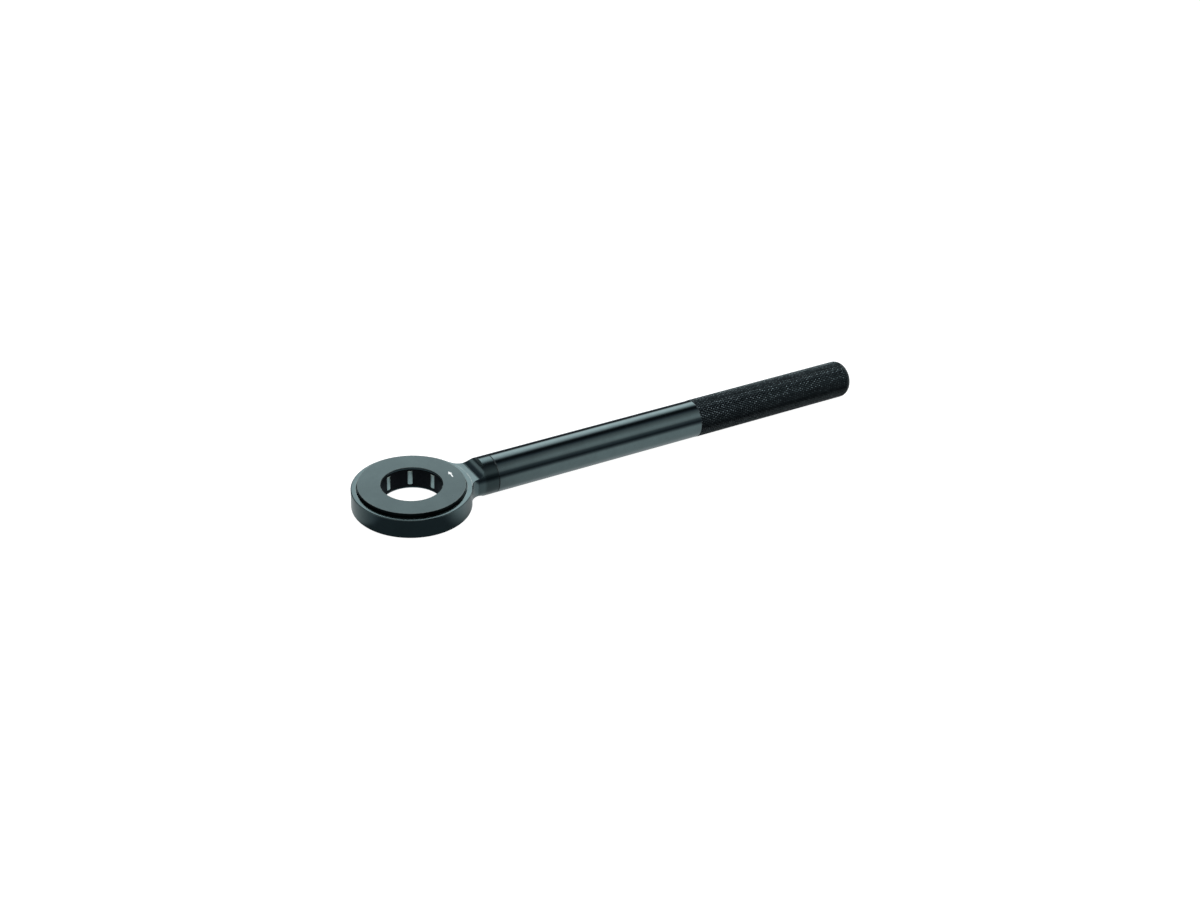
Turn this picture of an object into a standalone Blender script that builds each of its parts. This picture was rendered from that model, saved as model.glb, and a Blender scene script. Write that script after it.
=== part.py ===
"""One-way roller-clutch wrench for smooth round collet-chuck nuts, Blender 4.5.

Metres, +Z up. The clutch axis is vertical and the handle runs along +X.
The origin is the centre of the underside of the object's bounding box, so the
clutch axis stands at x = CLUTCH_X and the head's flat underside at z = HEAD_Z.

Head body with a counterbored bore, a hardened cam ring keyed in it by round
pins, a roller cage sprung against the cam ring, eight rollers, a raised cover
disc screwed on from below, and a knurled handle on a threaded stud.
"""

import math

import bmesh
import bpy
from mathutils import Matrix, Vector

MM = 0.001

# --- driving dimensions, millimetres ---------------------------------------
HEAD_R = 28.0            # ring outside
BODY_T = 9.6             # ring thickness, underside to shoulder
HEAD_T = 11.35           # underside to the top of the raised cover
BORE_R = 14.3            # clear bore for a 28 mm nut
COVER_R = 25.0           # raised cover disc
COVER_SEAT_R = 25.15
COVER_SEAT_Z = 8.9       # floor of the cover's counterbore
LIP_T = 0.75             # floor lip under the cage
COVER_LIP_T = 1.1        # cover lip over the cage
CAM_R = 21.0             # cam ring outside
CAM_SEAT_R = 21.1
CAM_LAND_R = 16.85       # lands between the roller pockets
CAGE_R = 16.6
ROLLERS = 8
ROLLER_R = 2.0
ROLLER_L = 7.2
ROLLER_PITCH_R = 15.95   # roller axes; inscribed circle 27.9 mm
WINDOW_R = 2.1
RAMP_R = 18.1            # ramp radius over a resting roller
RAMP_DEG = 6.0           # wedge angle
RELEASE_DEG = 5.0        # cage travel against its springs
AXIS_Z = 5.25            # handle axis over the underside
HANDLE_R = 9.3
KNURL_R = 9.5
WEB_X = 30.0             # flat web ends here
WEB_W = 7.8              # half width of the web at its end
WEB_FILLET = 6.0         # plan fillet into the ring
STUB_FILLET = 5.0        # fillet from web to stub
SEAM_X = 41.0            # stub to handle joint
SEAM_GAP = 0.15
KNURL_X = 155.0
END_X = 250.0
END_ROUND = 4.9
STUD_R = 4.0
SCREW_PITCH_R = 23.5
SCREWS = 6
SCREW_TOP = 10.25

CLUTCH_X = -(END_X - HEAD_R) / 2      # x of the clutch axis in the object's frame
HEAD_Z = KNURL_R - AXIS_Z             # z of the head's underside


# --- scene ------------------------------------------------------------------
for old in list(bpy.data.objects):
    bpy.data.objects.remove(old, do_unlink=True)
for old in list(bpy.data.collections):
    bpy.data.collections.remove(old)

parts = bpy.data.collections.new("roller_clutch_wrench")
cutters = bpy.data.collections.new("cutters")
bpy.context.scene.collection.children.link(parts)
bpy.context.scene.collection.children.link(cutters)
cutters.hide_render = True

frame_empty = bpy.data.objects.new("clutch_frame", None)
frame_empty.location = (CLUTCH_X * MM, 0.0, HEAD_Z * MM)
parts.objects.link(frame_empty)


def material(name, colour, roughness, metallic):
    mat = bpy.data.materials.new(name)
    mat.use_nodes = True
    shader = mat.node_tree.nodes["Principled BSDF"]
    shader.inputs["Base Color"].default_value = (*colour, 1.0)
    shader.inputs["Roughness"].default_value = roughness
    shader.inputs["Metallic"].default_value = metallic
    return mat


BLACK_OXIDE = material("black_oxide_steel", (0.085, 0.105, 0.112), 0.42, 0.85)
COVER_MAT = material("black_oxide_cover", (0.10, 0.125, 0.132), 0.45, 0.85)
HANDLE_MAT = material("black_oxide_handle", (0.05, 0.062, 0.068), 0.30, 0.85)
CAM_MAT = material("hardened_cam_steel", (0.22, 0.22, 0.23), 0.35, 1.0)
CAGE_MAT = material("blackened_cage", (0.012, 0.012, 0.014), 0.45, 0.3)
ROLLER_MAT = material("ground_roller_steel", (0.62, 0.63, 0.65), 0.22, 1.0)
SPRING_MAT = material("spring_steel", (0.35, 0.33, 0.30), 0.35, 1.0)
SCREW_MAT = material("black_screw_steel", (0.03, 0.032, 0.035), 0.35, 0.8)
PIN_MAT = material("pin_steel", (0.48, 0.48, 0.50), 0.28, 1.0)


# --- modelling helpers ------------------------------------------------------
def place(obj, mat, collection=parts):
    """Hangs an object on the clutch frame, whose units here are millimetres."""
    collection.objects.link(obj)
    obj.parent = frame_empty
    if mat is not None:
        obj.data.materials.append(mat)
    return obj


def from_bmesh(name, bm, mat, collection=parts):
    bmesh.ops.recalc_face_normals(bm, faces=bm.faces[:])
    mesh = bpy.data.meshes.new(name)
    bm.to_mesh(mesh)
    bm.free()
    return place(bpy.data.objects.new(name, mesh), mat, collection)


def smooth(obj, angle=35.0):
    obj.data.shade_smooth()
    obj.data.set_sharp_from_angle(angle=math.radians(angle))
    return obj


def turned(name, profile, mat, steps=96, collection=parts, axis="Z"):
    """A closed profile of (radius, height) in millimetres, turned by a Screw modifier.

    The profile is given clockwise seen with radius to the right and height up,
    so it runs down its outer side.
    """
    mesh = bpy.data.meshes.new(name)
    count = len(profile)
    # A profile that starts and ends on the axis is left open there.
    on_axis = profile[0][0] == 0.0 and profile[-1][0] == 0.0
    mesh.from_pydata(
        [(r * MM, 0.0, h * MM) for r, h in profile],
        [(i, (i + 1) % count) for i in range(count - on_axis)],
        [],
    )
    obj = bpy.data.objects.new(name, mesh)
    place(obj, mat, collection)
    screw = obj.modifiers.new("Turn", "SCREW")
    screw.axis = "Z"
    screw.angle = math.tau
    screw.steps = steps
    screw.render_steps = steps
    screw.use_merge_vertices = True
    screw.merge_threshold = 0.00001
    screw.use_smooth_shade = True
    if axis == "X":
        obj.rotation_euler = (0.0, math.radians(90.0), 0.0)
    return obj


def applied(obj):
    """Replaces an object's mesh with its evaluated one and clears its modifiers."""
    graph = bpy.context.evaluated_depsgraph_get()
    mesh = bpy.data.meshes.new_from_object(obj.evaluated_get(graph))
    obj.modifiers.clear()
    obj.data = mesh
    bm = bmesh.new()
    bm.from_mesh(mesh)
    bmesh.ops.remove_doubles(bm, verts=bm.verts[:], dist=1e-6)
    bmesh.ops.recalc_face_normals(bm, faces=bm.faces[:])
    bm.to_mesh(mesh)
    bm.free()
    return obj


def round_bar(name, radius, z0, z1, mat, segments=48, chamfer=0.0, collection=parts):
    """A cylinder along Z from z0 to z1 with optional end chamfers."""
    bm = bmesh.new()
    bmesh.ops.create_cone(
        bm,
        cap_ends=True,
        segments=segments,
        radius1=radius * MM,
        radius2=radius * MM,
        depth=(z1 - z0) * MM,
        matrix=Matrix.Translation((0, 0, (z0 + z1) / 2 * MM)),
    )
    if chamfer:
        rim = [
            e
            for e in bm.edges
            if abs(e.verts[0].co.z - e.verts[1].co.z) < 1e-7
        ]
        bmesh.ops.bevel(
            bm, geom=rim, offset=chamfer * MM, segments=1, affect="EDGES"
        )
    return from_bmesh(name, bm, mat, collection)


def flat_plate(name, outline, z0, z1, mat, collection=parts, upright=False):
    """A flat outline in millimetres, filled as a 2D curve and raised from z0 to z1.

    Upright plates stand in the XZ plane: the outline is then (x, z) and z0 to z1
    is their reach along Y.
    """
    curve = bpy.data.curves.new(name, "CURVE")
    curve.dimensions = "2D"
    curve.fill_mode = "BOTH"
    curve.extrude = (z1 - z0) / 2 * MM
    spline = curve.splines.new("POLY")
    spline.points.add(len(outline) - 1)
    for point, (x, y) in zip(spline.points, outline):
        point.co = (x * MM, y * MM, 0.0, 1.0)
    spline.use_cyclic_u = True
    guide = bpy.data.objects.new(name + "_outline", curve)
    cutters.objects.link(guide)
    graph = bpy.context.evaluated_depsgraph_get()
    mesh = bpy.data.meshes.new_from_object(guide.evaluated_get(graph))
    bpy.data.objects.remove(guide, do_unlink=True)
    bm = bmesh.new()
    bm.from_mesh(mesh)
    bpy.data.meshes.remove(mesh)
    bmesh.ops.remove_doubles(bm, verts=bm.verts[:], dist=1e-7)
    middle = (z0 + z1) / 2 * MM
    if upright:
        turn = Matrix.Translation((0, middle, 0)) @ Matrix.Rotation(math.pi / 2, 4, "X")
    else:
        turn = Matrix.Translation((0, 0, middle))
    bmesh.ops.transform(bm, matrix=turn, verts=bm.verts[:])
    return from_bmesh(name, bm, mat, collection)


def boolean(obj, other, operation="DIFFERENCE"):
    mod = obj.modifiers.new(f"{operation.title()} {other.name}", "BOOLEAN")
    mod.operation = operation
    mod.solver = "EXACT"
    mod.object = other
    other.hide_render = True
    other.display_type = "WIRE"
    return mod


def polar(radius, degrees):
    a = math.radians(degrees)
    return radius * math.cos(a), radius * math.sin(a)


def arc(cx, cy, r, a0, a1, n):
    """Points on an arc from a0 to a1 degrees, both ends included."""
    return [
        (
            cx + r * math.cos(math.radians(a0 + (a1 - a0) * i / n)),
            cy + r * math.sin(math.radians(a0 + (a1 - a0) * i / n)),
        )
        for i in range(n + 1)
    ]


# --- head body --------------------------------------------------------------
EDGE = 0.45  # small turned chamfer on the ring's outer edges

head = turned(
    "head_body",
    [
        (BORE_R, LIP_T),
        (CAM_SEAT_R, LIP_T),
        (CAM_SEAT_R, COVER_SEAT_Z),
        (COVER_SEAT_R, COVER_SEAT_Z),
        (COVER_SEAT_R, BODY_T),
        (HEAD_R - EDGE, BODY_T),
        (HEAD_R, BODY_T - EDGE),
        (HEAD_R, EDGE),
        (HEAD_R - EDGE, 0.0),
        (BORE_R + 0.3, 0.0),
        (BORE_R, 0.3),
    ],
    BLACK_OXIDE,
    steps=112,
)
applied(head)

# Neck: a round bar along X, milled flat above and below to the ring's own
# thickness, whose sides run into the ring in plan fillets.
fillet_y = WEB_W + WEB_FILLET
fillet_x = math.sqrt((HEAD_R + WEB_FILLET) ** 2 - fillet_y**2)
ring_angle = math.degrees(math.atan2(fillet_y, fillet_x))
side = [
    polar(HEAD_R - 0.7, ring_angle + 1.0),
    *arc(fillet_x, fillet_y, WEB_FILLET, 180.0 + ring_angle, 270.0, 8),
]
inner_side = arc(0.0, 0.0, HEAD_R - 1.4, -ring_angle, ring_angle, 8)
web = flat_plate(
    "web_block",
    [*inner_side, *side, *[(x, -y) for x, y in reversed(side)]],
    0.0,
    BODY_T,
    None,
    cutters,
)

stub = round_bar(
    "stub_bar", HANDLE_R, COVER_R + 0.6, SEAM_X, None, segments=56, collection=cutters
)
stub.rotation_euler = (0.0, math.radians(90.0), 0.0)
stub.location = (0.0, 0.0, AXIS_Z * MM)

# Each flat ends in a concave fillet up to the round stub.
def fillet_cut(name, sign):
    level = BODY_T if sign > 0 else 0.0
    rise = HANDLE_R - abs(level - AXIS_Z)
    sweep = math.degrees(math.acos(1.0 - rise / STUB_FILLET))
    curve = arc(
        WEB_X, level + sign * STUB_FILLET, STUB_FILLET,
        -90.0 * sign, -90.0 * sign + sign * sweep, 8,
    )
    outline = [
        (WEB_X - 6.0, level),
        *curve,
        (curve[-1][0], level + sign * 8.0),
        (WEB_X - 6.0, level + sign * 8.0),
    ]
    return flat_plate(name, outline, -12.0, 12.0, None, cutters, upright=True)


boolean(stub, fillet_cut("fillet_cut_top", 1))
boolean(stub, fillet_cut("fillet_cut_under", -1))
applied(stub)
boolean(head, web, "UNION")
boolean(head, stub, "UNION")

stud_hole = round_bar(
    "stud_hole", STUD_R + 0.1, SEAM_X - 8.4, SEAM_X + 2.0, None, 32, collection=cutters
)
stud_hole.rotation_euler = (0.0, math.radians(90.0), 0.0)
stud_hole.location = (0.0, 0.0, AXIS_Z * MM)
boolean(head, stud_hole)

LOCK_X = 37.2
lock_hole = round_bar(
    "lock_hole", 2.1, AXIS_Z - HANDLE_R - 1.0, AXIS_Z, None, 24, collection=cutters
)
lock_hole.location = (LOCK_X * MM, 0.0, 0.0)
boolean(head, lock_hole)

# Screw holes with countersinks in the underside.
SCREW_ANGLES = [30.0 + 360.0 / SCREWS * k for k in range(SCREWS)]
for k, angle in enumerate(SCREW_ANGLES, 1):
    cut = turned(
        f"screw_hole_{k}",
        [
            (0.0, BODY_T),
            (1.2, BODY_T),
            (1.2, 1.1),
            (2.05, 0.25),
            (2.05, -1.0),
            (0.0, -1.0),
        ],
        None,
        steps=16,
        collection=cutters,
    )
    x, y = polar(SCREW_PITCH_R, angle)
    cut.location = (x * MM, y * MM, 0.0)
    applied(cut)
    boolean(head, cut)

# Key holes for the drive pins, half in the head and half in the cam ring.
PIN_R = 1.5
PIN_ANGLES = (0.0, 180.0)
PIN_Z0, PIN_Z1 = 1.4, 8.3
for k, angle in enumerate(PIN_ANGLES, 1):
    cut = round_bar(
        f"pin_hole_{k}", PIN_R + 0.08, LIP_T + 0.1, HEAD_T, None, 16, collection=cutters
    )
    x, y = polar(CAM_SEAT_R - 0.05, angle)
    cut.location = (x * MM, y * MM, 0.0)
    boolean(head, cut)
    pin = round_bar(f"drive_pin_{k}", PIN_R, PIN_Z0, PIN_Z1, PIN_MAT, 16, 0.25)
    pin.location = (x * MM, y * MM, 0.0)
    smooth(pin)
applied(head)
smooth(head)

# --- cover disc -------------------------------------------------------------
COVER_BASE = COVER_SEAT_Z + 0.15
COVER_INNER_Z = HEAD_T - COVER_LIP_T     # ceiling over the cage
cover = turned(
    "cover_disc",
    [
        (BORE_R, COVER_INNER_Z),
        (BORE_R, HEAD_T - 0.2),
        (BORE_R + 0.2, HEAD_T),
        (COVER_R - 0.25, HEAD_T),
        (COVER_R, HEAD_T - 0.25),
        (COVER_R, COVER_BASE),
        (CAM_R + 0.3, COVER_BASE),
        (CAM_R + 0.3, COVER_INNER_Z),
    ],
    COVER_MAT,
    steps=72,
)
applied(cover)
for k, angle in enumerate(SCREW_ANGLES, 1):
    cut = round_bar(
        f"screw_thread_{k}", 1.1, COVER_BASE - 1.0, SCREW_TOP + 0.3, None, 16,
        collection=cutters,
    )
    x, y = polar(SCREW_PITCH_R, angle)
    cut.location = (x * MM, y * MM, 0.0)
    boolean(cover, cut)
applied(cover)
smooth(cover)

for k, angle in enumerate(SCREW_ANGLES, 1):
    screw = turned(
        f"cover_screw_{k}",
        [
            (0.0, SCREW_TOP),
            (0.75, SCREW_TOP),
            (1.0, SCREW_TOP - 0.25),
            (1.0, 1.17),
            (1.9, 0.27),
            (1.9, 0.12),
            (0.65, 0.12),
            (0.65, 1.1),
            (0.0, 1.3),
        ],
        SCREW_MAT,
        steps=12,
    )
    x, y = polar(SCREW_PITCH_R, angle)
    screw.location = (x * MM, y * MM, 0.0)
    applied(screw)
    smooth(screw)

# --- cam ring ---------------------------------------------------------------
CAM_Z0, CAM_Z1 = 0.95, 9.95
ROLLER_ANGLES = [360.0 / ROLLERS * (k + 0.5) for k in range(ROLLERS)]
POCKET_BACK, POCKET_FRONT = 12.2, 7.3     # degrees each side of a resting roller
ramp_slope = math.tan(math.radians(RAMP_DEG))


def ramp_radius(offset):
    """Ramp radius at an angle from the resting roller; it narrows as it turns on."""
    return RAMP_R - ramp_slope * RAMP_R * math.radians(offset)


LUG_ANGLES = (0.0, 90.0, 180.0, 270.0)
RECESS_R = 18.3
RECESS_BACK, RECESS_FRONT = 12.0, 7.5
inner = []
for k, roller in enumerate(ROLLER_ANGLES):
    n = 7
    inner.append(polar(CAM_LAND_R, roller - POCKET_BACK))
    for i in range(n + 1):
        off = -POCKET_BACK + (POCKET_BACK + POCKET_FRONT) * i / n
        inner.append(polar(ramp_radius(off), roller + off))
    inner.append(polar(CAM_LAND_R, roller + POCKET_FRONT))
    middle = roller + 180.0 / ROLLERS
    if any(abs((middle - a) % 360.0) < 0.01 for a in LUG_ANGLES):
        inner.append(polar(CAM_LAND_R, middle - RECESS_BACK))
        for i in range(5):
            inner.append(
                polar(RECESS_R, middle - RECESS_BACK + (RECESS_BACK + RECESS_FRONT) * i / 4)
            )
        inner.append(polar(CAM_LAND_R, middle + RECESS_FRONT))
    else:
        for i in range(1, 4):
            start = roller + POCKET_FRONT
            stop_at = roller + 360.0 / ROLLERS - POCKET_BACK
            inner.append(polar(CAM_LAND_R, start + (stop_at - start) * i / 4))

# The outer circle, bored with the inner outline.
bm = bmesh.new()
bmesh.ops.create_cone(
    bm,
    cap_ends=True,
    segments=72,
    radius1=CAM_R * MM,
    radius2=CAM_R * MM,
    depth=(CAM_Z1 - CAM_Z0) * MM,
    matrix=Matrix.Translation((0, 0, (CAM_Z0 + CAM_Z1) / 2 * MM)),
)
cam = from_bmesh("cam_ring", bm, CAM_MAT)
boolean(cam, flat_plate("cam_bore", inner, CAM_Z0 - 1.0, CAM_Z1 + 1.0, None, cutters))
for k, angle in enumerate(PIN_ANGLES, 1):
    boolean(cam, bpy.data.objects[f"pin_hole_{k}"])
applied(cam)
smooth(cam)

# --- roller cage ------------------------------------------------------------
CAGE_Z0, CAGE_Z1 = 0.95, 10.05
cage = turned(
    "roller_cage",
    [
        (BORE_R, CAGE_Z0 + 0.1),
        (BORE_R, CAGE_Z1 - 0.1),
        (BORE_R + 0.1, CAGE_Z1),
        (CAGE_R, CAGE_Z1),
        (CAGE_R, CAGE_Z0),
        (BORE_R + 0.1, CAGE_Z0),
    ],
    CAGE_MAT,
    steps=72,
)
applied(cage)
# Four lugs reach into the cam ring's recesses and meet the return springs.
LUG_BACK, LUG_FRONT = 3.0, 7.1
for k, angle in enumerate(LUG_ANGLES, 1):
    outline = [
        polar(CAGE_R - 0.6, angle + LUG_BACK),
        polar(RECESS_R - 0.35, angle + LUG_BACK),
        polar(RECESS_R - 0.35, angle + (LUG_BACK + LUG_FRONT) / 2),
        polar(RECESS_R - 0.35, angle + LUG_FRONT),
        polar(CAGE_R - 0.6, angle + LUG_FRONT),
    ]
    boolean(cage, flat_plate(f"cage_lug_{k}", outline, 2.4, 8.6, None, cutters), "UNION")
for k, angle in enumerate(ROLLER_ANGLES, 1):
    cut = round_bar(
        f"window_{k}",
        WINDOW_R,
        HEAD_T / 2 - ROLLER_L / 2 - 0.15,
        HEAD_T / 2 + ROLLER_L / 2 + 0.15,
        None,
        20,
        collection=cutters,
    )
    x, y = polar(ROLLER_PITCH_R, angle)
    cut.location = (x * MM, y * MM, 0.0)
    boolean(cage, cut)
applied(cage)
smooth(cage)

# --- rollers ----------------------------------------------------------------
first = None
for k, angle in enumerate(ROLLER_ANGLES, 1):
    x, y = polar(ROLLER_PITCH_R, angle)
    if first is None:
        roller = round_bar(
            f"roller_{k}",
            ROLLER_R,
            -ROLLER_L / 2,
            ROLLER_L / 2,
            ROLLER_MAT,
            20,
            0.35,
        )
        smooth(roller)
        first = roller
    else:
        roller = bpy.data.objects.new(f"roller_{k}", first.data)
        place(roller, None)
    roller.location = (x * MM, y * MM, HEAD_T / 2 * MM)

# --- cage return springs ----------------------------------------------------
# Each is a folded leaf between the recess wall and the cage lug.
SPRING_T, SPRING_Z0, SPRING_Z1 = 0.22, 3.2, 7.8
for k, angle in enumerate(LUG_ANGLES, 1):
    start, end = angle - RECESS_BACK + 0.9, angle + LUG_BACK - 0.9
    folds = 7
    mid = [
        polar(
            17.4 + 0.4 * (1 if i % 2 else -1),
            start + (end - start) * i / (folds - 1),
        )
        for i in range(folds)
    ]
    left, right = [], []
    for i, (px, py) in enumerate(mid):
        before = Vector(mid[max(i - 1, 0)])
        after = Vector(mid[min(i + 1, folds - 1)])
        one = (Vector((px, py)) - before).normalized() if i else None
        two = (after - Vector((px, py))).normalized() if i < folds - 1 else None
        along = ((one or two) + (two or one)).normalized()
        side = Vector((-along.y, along.x))
        turn = side.dot(Vector((-(two or one).y, (two or one).x)))
        reach = SPRING_T / 2 / max(turn, 0.35)
        left.append((px + side.x * reach, py + side.y * reach))
        right.append((px - side.x * reach, py - side.y * reach))
    flat_plate(
        f"cage_spring_{k}", left + right[::-1], SPRING_Z0, SPRING_Z1, SPRING_MAT
    )

# --- handle -----------------------------------------------------------------
round_profile = [
    (KNURL_R - END_ROUND + END_ROUND * math.cos(math.radians(a)),
     END_X - END_ROUND + END_ROUND * math.sin(math.radians(a)))
    for a in (90.0, 72.0, 54.0, 36.0, 18.0, 0.0)
]
handle = turned(
    "handle_bar",
    [
        (0.0, END_X),
        *round_profile,
        (KNURL_R, KNURL_X),
        (HANDLE_R, KNURL_X - 0.2),
        (HANDLE_R, SEAM_X + SEAM_GAP + 0.2),
        (HANDLE_R - 0.2, SEAM_X + SEAM_GAP),
        (STUD_R + 0.1, SEAM_X + SEAM_GAP),
        (STUD_R + 0.1, SEAM_X + 18.0),
        (0.0, SEAM_X + 19.5),
    ],
    HANDLE_MAT,
    steps=56,
    axis="X",
)
handle.location = (0.0, 0.0, AXIS_Z * MM)
applied(handle)
smooth(handle)

stud = round_bar(
    "handle_stud", STUD_R, SEAM_X - 8.1, SEAM_X + 17.6, PIN_MAT, 28, 0.6
)
stud.rotation_euler = (0.0, math.radians(90.0), 0.0)
stud.location = (0.0, 0.0, AXIS_Z * MM)
smooth(stud)

lock = turned(
    "stud_lock_screw",
    [
        (0.0, AXIS_Z - STUD_R - 0.15),
        (1.3, AXIS_Z - STUD_R - 0.15),
        (1.95, AXIS_Z - STUD_R - 0.8),
        (1.95, AXIS_Z - HANDLE_R + 0.75),
        (1.7, AXIS_Z - HANDLE_R + 0.5),
        (1.0, AXIS_Z - HANDLE_R + 0.5),
        (1.0, AXIS_Z - HANDLE_R + 2.4),
        (0.0, AXIS_Z - HANDLE_R + 2.8),
    ],
    SCREW_MAT,
    steps=18,
)
lock.location = (LOCK_X * MM, 0.0, 0.0)
applied(lock)
smooth(lock)

for obj in cutters.objects:
    obj.hide_render = True
    obj.display_type = "WIRE"
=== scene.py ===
"""Looks of the one-way roller wrench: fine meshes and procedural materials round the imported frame."""

import math

import bmesh
import bpy
import numpy as np
from mathutils import Matrix, Vector


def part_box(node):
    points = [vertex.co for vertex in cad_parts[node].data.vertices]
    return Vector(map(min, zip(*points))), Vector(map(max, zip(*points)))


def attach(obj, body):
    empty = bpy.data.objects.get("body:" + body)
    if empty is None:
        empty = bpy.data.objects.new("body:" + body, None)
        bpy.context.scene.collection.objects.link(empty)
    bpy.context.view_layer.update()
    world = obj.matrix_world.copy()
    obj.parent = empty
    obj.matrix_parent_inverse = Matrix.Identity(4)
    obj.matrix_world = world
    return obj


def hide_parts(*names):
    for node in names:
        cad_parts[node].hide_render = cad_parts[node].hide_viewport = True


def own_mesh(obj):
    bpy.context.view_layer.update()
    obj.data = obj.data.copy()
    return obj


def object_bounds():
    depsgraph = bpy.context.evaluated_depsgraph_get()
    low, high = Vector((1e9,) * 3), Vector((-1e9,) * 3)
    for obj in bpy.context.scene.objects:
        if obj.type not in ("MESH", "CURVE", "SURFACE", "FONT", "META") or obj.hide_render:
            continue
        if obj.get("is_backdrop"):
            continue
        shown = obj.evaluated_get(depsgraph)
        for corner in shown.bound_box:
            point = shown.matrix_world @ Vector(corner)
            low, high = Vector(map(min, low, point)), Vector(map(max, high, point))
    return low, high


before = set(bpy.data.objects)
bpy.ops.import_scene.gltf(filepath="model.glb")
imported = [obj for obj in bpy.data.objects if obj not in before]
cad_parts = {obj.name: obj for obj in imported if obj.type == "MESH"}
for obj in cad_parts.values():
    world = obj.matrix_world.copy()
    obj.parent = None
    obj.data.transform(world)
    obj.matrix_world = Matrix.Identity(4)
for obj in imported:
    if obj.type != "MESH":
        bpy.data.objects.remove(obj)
cad_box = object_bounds()
scene = bpy.context.scene
scene.view_settings.view_transform = "Standard"
scene.view_settings.look = "None"

# --------------------------------------------------------------------------- frame
cover_lo, cover_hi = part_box("cover_disc")
handle_lo, handle_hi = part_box("handle_bar")
AX = (cover_lo.x + cover_hi.x) / 2          # clutch axis
HEAD_T = 11.35
Z0 = cover_hi.z - HEAD_T / 1000             # flat underside of the head
AXIS_Z = ((handle_lo.z + handle_hi.z) / 2 - Z0) * 1000
SEAM_X = (handle_lo.x - AX) * 1000          # handle's inner end, local millimetres
END_X = (handle_hi.x - AX) * 1000
ROLLER_ANGLES = [45.0 * (k + 0.5) for k in range(8)]

HEAD_R, BODY_T, BORE_R, LIP_T = 28.0, 9.6, 14.3, 0.75
COVER_R, SEAT_R, SEAT_Z = 25.0, 25.15, 8.9
GROOVE_R = 25.55
CAM_SEAT_R = 21.1
CAGE_R = 16.6
HANDLE_R, KNURL_R, KNURL_X, END_ROUND = 9.3, 9.5, 155.0, 4.9
WEB_X, STUB_FILLET, WEB_FILLET = 30.0, 5.0, 6.0
STUB_END = 41.0
SCREW_PITCH_R, SCREW_ANGLES = 23.5, [30.0 + 60.0 * k for k in range(6)]


def to_row(v):
    """Local millimetres about the clutch axis at the head's underside, to row metres."""
    v = np.asarray(v, float)
    return v * 0.001 + np.array([AX, 0.0, Z0])


# --------------------------------------------------------------------------- mesh tools
def new_object(name, verts, faces, smooth_deg=32.0):
    mesh = bpy.data.meshes.new(name)
    mesh.from_pydata([tuple(p) for p in to_row(verts)], [], [tuple(f) for f in faces])
    mesh.validate()
    obj = bpy.data.objects.new(name, mesh)
    scene.collection.objects.link(obj)
    shade(obj, smooth_deg)
    return obj


def shade(obj, degrees=32.0):
    obj.data.shade_smooth()
    obj.data.set_sharp_from_angle(angle=math.radians(degrees))
    return obj


def polar(r, deg):
    return r * math.cos(math.radians(deg)), r * math.sin(math.radians(deg))


def arc(cx, cy, r, a0, a1, n):
    return [
        (cx + r * math.cos(math.radians(a0 + (a1 - a0) * i / n)),
         cy + r * math.sin(math.radians(a0 + (a1 - a0) * i / n)))
        for i in range(n + 1)
    ]


def rounded(points, closed=True, seg=5):
    """A polyline of (a, b, radius) corners, with each corner rounded to its radius."""
    out, n = [], len(points)
    for i, (a, b, rad) in enumerate(points):
        p = np.array([a, b], float)
        ends = (not closed) and i in (0, n - 1)
        if rad <= 0 or ends:
            out.append((a, b))
            continue
        u = np.array(points[i - 1][:2], float) - p
        w = np.array(points[(i + 1) % n][:2], float) - p
        lu, lw = np.linalg.norm(u), np.linalg.norm(w)
        u, w = u / lu, w / lw
        half = math.acos(max(-1.0, min(1.0, float(u @ w)))) / 2
        cut = min(rad / math.tan(half), lu * 0.49, lw * 0.49)
        r = cut * math.tan(half)
        centre = p + (u + w) / np.linalg.norm(u + w) * (r / math.sin(half))
        s, e = p + u * cut - centre, p + w * cut - centre
        a0, a1 = math.atan2(s[1], s[0]), math.atan2(e[1], e[0])
        d = (a1 - a0 + math.pi) % math.tau - math.pi
        for k in range(seg + 1):
            t = a0 + d * k / seg
            out.append((centre[0] + r * math.cos(t), centre[1] + r * math.sin(t)))
    return out


def lathe(profile, steps, axis="Z", centre=(0.0, 0.0, 0.0), closed=True):
    """Verts and faces of a turned profile of (radius, height) running clockwise."""
    verts, rows, faces = [], [], []
    for r, h in profile:
        if r < 1e-9:
            rows.append([len(verts)])
            verts.append((0.0, 0.0, h))
        else:
            rows.append(list(range(len(verts), len(verts) + steps)))
            for k in range(steps):
                t = math.tau * k / steps
                verts.append((r * math.cos(t), r * math.sin(t), h))
    count = len(rows)
    for i in range(count if closed else count - 1):
        a, b = rows[i], rows[(i + 1) % count]
        if len(a) == 1 and len(b) == 1:
            continue
        for k in range(steps):
            m = (k + 1) % steps
            if len(a) == 1:
                faces.append((a[0], b[k], b[m]))
            elif len(b) == 1:
                faces.append((a[k], b[0], a[m]))
            else:
                faces.append((a[k], b[k], b[m], a[m]))
    v = np.array(verts)
    if axis == "X":
        v = np.stack([v[:, 2], v[:, 1], -v[:, 0]], axis=1)
    return v + np.array(centre), faces


def turned(name, profile, steps, axis="Z", centre=(0.0, 0.0, 0.0), closed=True, smooth_deg=32.0):
    v, f = lathe(profile, steps, axis, centre, closed)
    return new_object(name, v, f, smooth_deg)


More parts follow.
